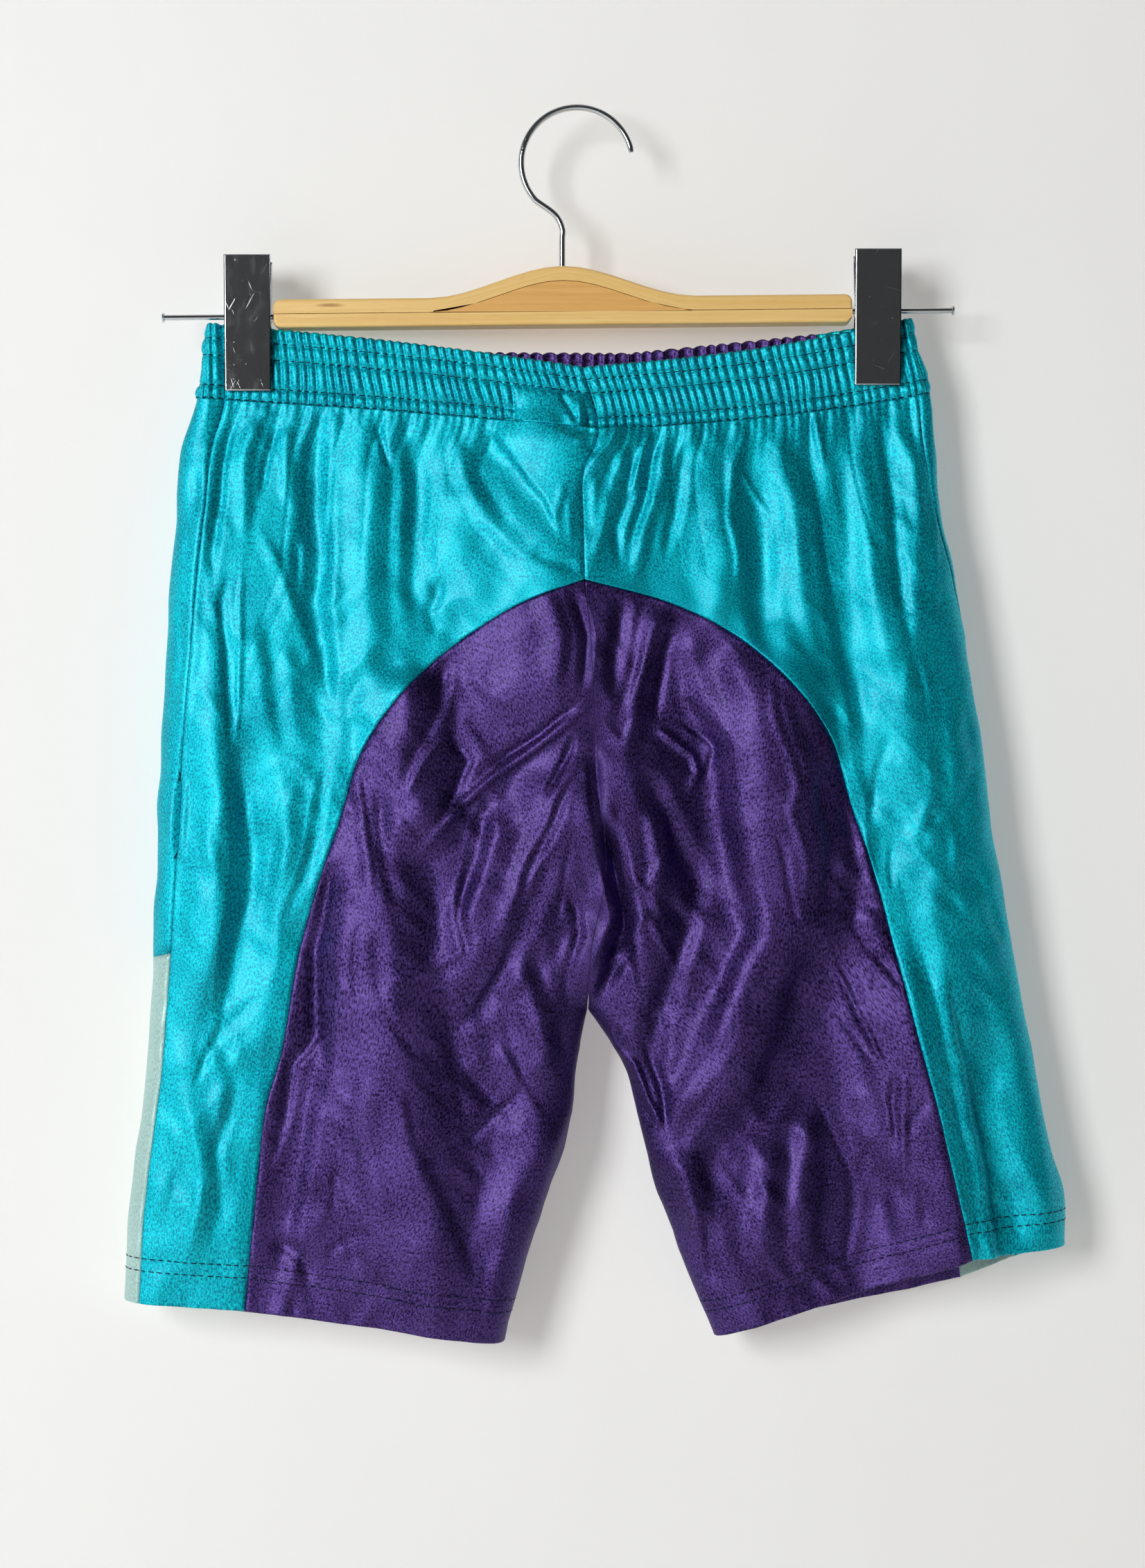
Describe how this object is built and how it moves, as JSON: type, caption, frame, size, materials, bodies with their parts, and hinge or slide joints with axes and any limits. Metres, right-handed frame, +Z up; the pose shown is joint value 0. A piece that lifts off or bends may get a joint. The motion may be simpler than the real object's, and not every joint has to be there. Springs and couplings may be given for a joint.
{
  "type": "cycling shorts on a wooden clip hanger",
  "caption": "Loose knee-length cycling shorts in satin stretch knit, gripped at the elastic waist by a wooden clip hanger with a steel hook.",
  "frame": {"origin": "inner top of the hook, where a rail or peg carries the hanger", "axes": "+Z up, -Y to the viewer and out of the front of the shorts, +X to the viewer's right"},
  "size_m": [0.4344, 0.0322, 0.5709],
  "materials": {
    "teal_knit": "satin",
    "purple_knit": "satin",
    "mint_knit": "satin",
    "pale_wood": "lacquered",
    "tan_wood": "lacquered",
    "steel": "polished",
    "grip": "matte"
  },
  "bodies": {
    "root": {"front_hip_left": "teal_knit", "front_hip_right": "teal_knit", "back_hip_left": "teal_knit", "back_hip_right": "teal_knit", "waist_front_left": "teal_knit", "waist_front_right": "teal_knit", "waist_side_left": "teal_knit", "waist_side_right": "teal_knit", "front_leg_left": "purple_knit", "front_leg_right": "purple_knit", "back_seat_left": "purple_knit", "back_seat_right": "purple_knit", "waist_back_left": "purple_knit", "waist_back_right": "purple_knit", "back_side_left": "mint_knit", "back_side_right": "mint_knit", "bar_lower_strip": "pale_wood", "bar_upper_strip": "pale_wood", "bar_infill": "tan_wood", "hook": "steel", "rod_left": "steel", "rod_right": "steel", "clip_left_front_jaw": "steel", "clip_left_back_jaw": "steel", "clip_left_spring": "steel", "clip_left_front_pad": "grip", "clip_left_back_pad": "grip", "clip_right_front_jaw": "steel", "clip_right_back_jaw": "steel", "clip_right_spring": "steel", "clip_right_front_pad": "grip", "clip_right_back_pad": "grip"}
  },
  "joints": []
}
